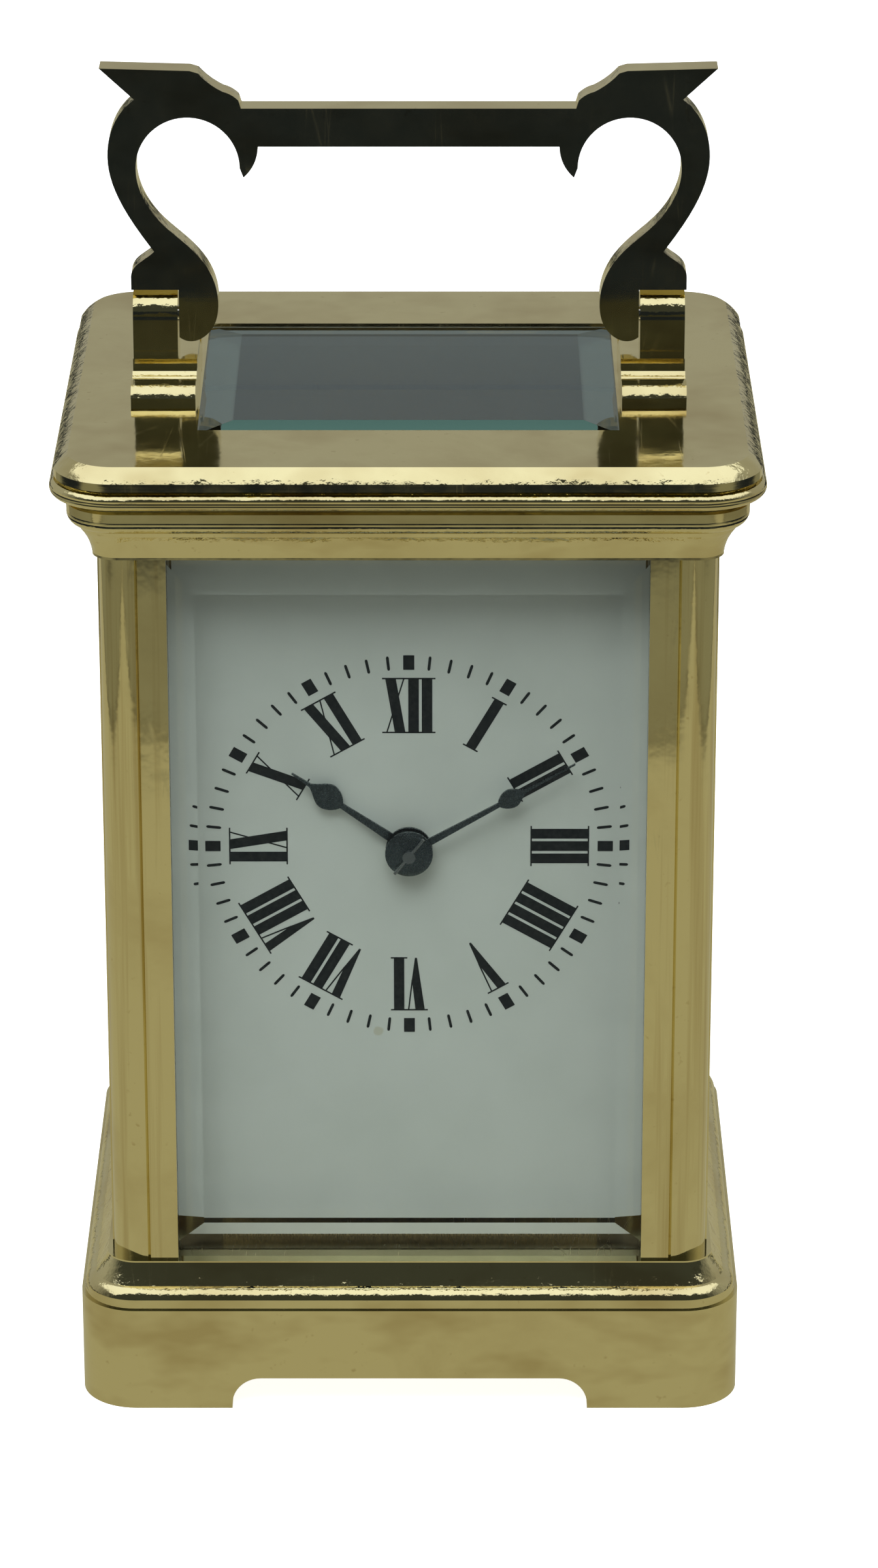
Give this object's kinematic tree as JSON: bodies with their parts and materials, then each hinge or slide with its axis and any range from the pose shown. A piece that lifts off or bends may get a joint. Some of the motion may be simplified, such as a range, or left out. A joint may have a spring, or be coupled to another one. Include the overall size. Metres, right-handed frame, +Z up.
{
  "type": "carriage clock",
  "caption": "Brass carriage clock with bevelled glass panes, a white dial with Roman hours, a folding handle, an opening back door and a wound spring movement with a lever platform.",
  "frame": {"origin": "under the middle of the base, on the plane it stands on", "axes": "+Z up, the dial faces -Y, +X to the right as seen from the front"},
  "size_m": [0.086, 0.075, 0.1649],
  "materials": {
    "case_brass": "polished, lightly tarnished",
    "movement_brass": "satin gilt",
    "steel": "bright",
    "blued_steel": "dark blued",
    "glass": "clear with ground bevels",
    "enamel": "glossy white enamel with black numerals",
    "ruby": "polished jewel"
  },
  "bodies": {
    "case": {"back_plate": "movement_brass", "balance_cock": "movement_brass", "base": "case_brass", "bracket_left": "case_brass", "bracket_right": "case_brass", "bracket_screws": "steel", "case_screws": "steel", "click_spring": "steel", "cornice": "case_brass", "dial": "enamel", "escape_cock": "movement_brass", "front_glass": "glass", "front_plate": "movement_brass", "hairspring": "blued_steel", "jewels": "ruby", "left_glass": "glass", "pillar_front_left": "case_brass", "pillar_front_right": "case_brass", "pillar_rear_left": "case_brass", "pillar_rear_right": "case_brass", "plate_pillars": "movement_brass", "plate_screws": "steel", "platform": "movement_brass", "potence": "movement_brass", "right_glass": "glass", "small_screws": "steel", "top_glass": "glass", "top_glass_clips": "movement_brass"},
    "handle": {"handle": "case_brass", "handle_pivot_screws": "steel"},
    "door": {"door_frame": "case_brass", "door_glass": "glass", "door_knob": "case_brass"},
    "centre": {"centre_wheel": "movement_brass", "centre_arbor": "steel", "cannon_pinion": "steel", "minute_hand": "blued_steel", "hand_collet": "blued_steel", "hand_pin": "steel"},
    "hour": {"hour_wheel": "movement_brass", "hour_hand": "blued_steel"},
    "minute": {"minute_wheel": "movement_brass"},
    "intermediate": {"intermediate_wheel": "movement_brass", "intermediate_arbor": "steel"},
    "barrel": {"barrel": "movement_brass", "barrel_cover": "movement_brass", "mainspring": "steel"},
    "third": {"third_wheel": "movement_brass", "third_arbor": "steel"},
    "contrate": {"contrate_wheel": "movement_brass", "contrate_arbor": "steel"},
    "escape": {"escape_wheel": "steel"},
    "winding": {"barrel_arbor": "steel", "ratchet_wheel": "steel"},
    "click": {"click": "steel"},
    "lever": {"lever": "steel", "pallet_stones": "ruby"},
    "balance": {"balance_wheel": "movement_brass", "balance_staff": "steel"},
    "regulator": {"regulator": "steel"}
  },
  "joints": [
    {"name": "handle_fold", "type": "hinge", "parent": "case", "child": "handle", "pos_m": [0, 0, 0.1334], "axis": [1, 0, 0], "range_deg": [-100, 100]},
    {"name": "door_swing", "type": "hinge", "parent": "case", "child": "door", "pos_m": [0.0269, 0.0299, 0.066], "axis": [0, 0, -1], "range_deg": [0, 90]},
    {"name": "centre_turn", "type": "hinge", "parent": "case", "child": "centre", "pos_m": [0, 0, 0.0717], "axis": [0, 1, 0], "continuous": true},
    {"name": "hour_turn", "type": "hinge", "parent": "case", "child": "hour", "pos_m": [0, 0, 0.0717], "axis": [0, 1, 0], "continuous": true},
    {"name": "minute_wheel_turn", "type": "hinge", "parent": "case", "child": "minute", "pos_m": [-0.00246, 0, 0.06493], "axis": [0, 1, 0], "continuous": true},
    {"name": "intermediate_turn", "type": "hinge", "parent": "case", "child": "intermediate", "pos_m": [0.00092, 0, 0.05733], "axis": [0, 1, 0], "continuous": true},
    {"name": "barrel_turn", "type": "hinge", "parent": "case", "child": "barrel", "pos_m": [0.006, 0, 0.0384], "axis": [0, 1, 0], "continuous": true},
    {"name": "third_turn", "type": "hinge", "parent": "case", "child": "third", "pos_m": [0.003, 0, 0.08319], "axis": [0, 1, 0], "continuous": true},
    {"name": "contrate_turn", "type": "hinge", "parent": "case", "child": "contrate", "pos_m": [-0.007, 0, 0.0852], "axis": [0, 1, 0], "continuous": true},
    {"name": "escape_turn", "type": "hinge", "parent": "case", "child": "escape", "pos_m": [-0.007, -0.0017, 0.0939], "axis": [0, 0, 1], "continuous": true},
    {"name": "winding_turn", "type": "hinge", "parent": "case", "child": "winding", "pos_m": [0.006, 0, 0.0384], "axis": [0, 1, 0], "continuous": true},
    {"name": "click_lift", "type": "hinge", "parent": "case", "child": "click", "pos_m": [-0.00397, 0.0133, 0.04305], "axis": [0, 1, 0], "range_deg": [0, 6], "stiffness_Nm_per_rad": 0.0002, "springref_deg": -11.46},
    {"name": "lever_rock", "type": "hinge", "parent": "case", "child": "lever", "pos_m": [-0.00238, -0.0017, 0.0973], "axis": [0, 0, 1], "range_deg": [-5, 5]},
    {"name": "balance_swing", "type": "hinge", "parent": "case", "child": "balance", "pos_m": [0.00452, -0.0017, 0.1004], "axis": [0, 0, 1], "range_deg": [-200, 200], "stiffness_Nm_per_rad": 0.000004},
    {"name": "regulator_shift", "type": "hinge", "parent": "case", "child": "regulator", "pos_m": [0.00452, -0.0017, 0.1039], "axis": [0, 0, 1], "range_deg": [-20, 20]}
  ],
  "couplings": [
    {"joint": "hour_turn", "follows": "centre_turn", "ratio": 0.083333},
    {"joint": "minute_wheel_turn", "follows": "centre_turn", "ratio": -0.33333},
    {"joint": "intermediate_turn", "follows": "centre_turn", "ratio": -0.2},
    {"joint": "barrel_turn", "follows": "centre_turn", "ratio": 0.033333},
    {"joint": "third_turn", "follows": "centre_turn", "ratio": -8},
    {"joint": "contrate_turn", "follows": "centre_turn", "ratio": 60},
    {"joint": "escape_turn", "follows": "centre_turn", "ratio": 600}
  ]
}
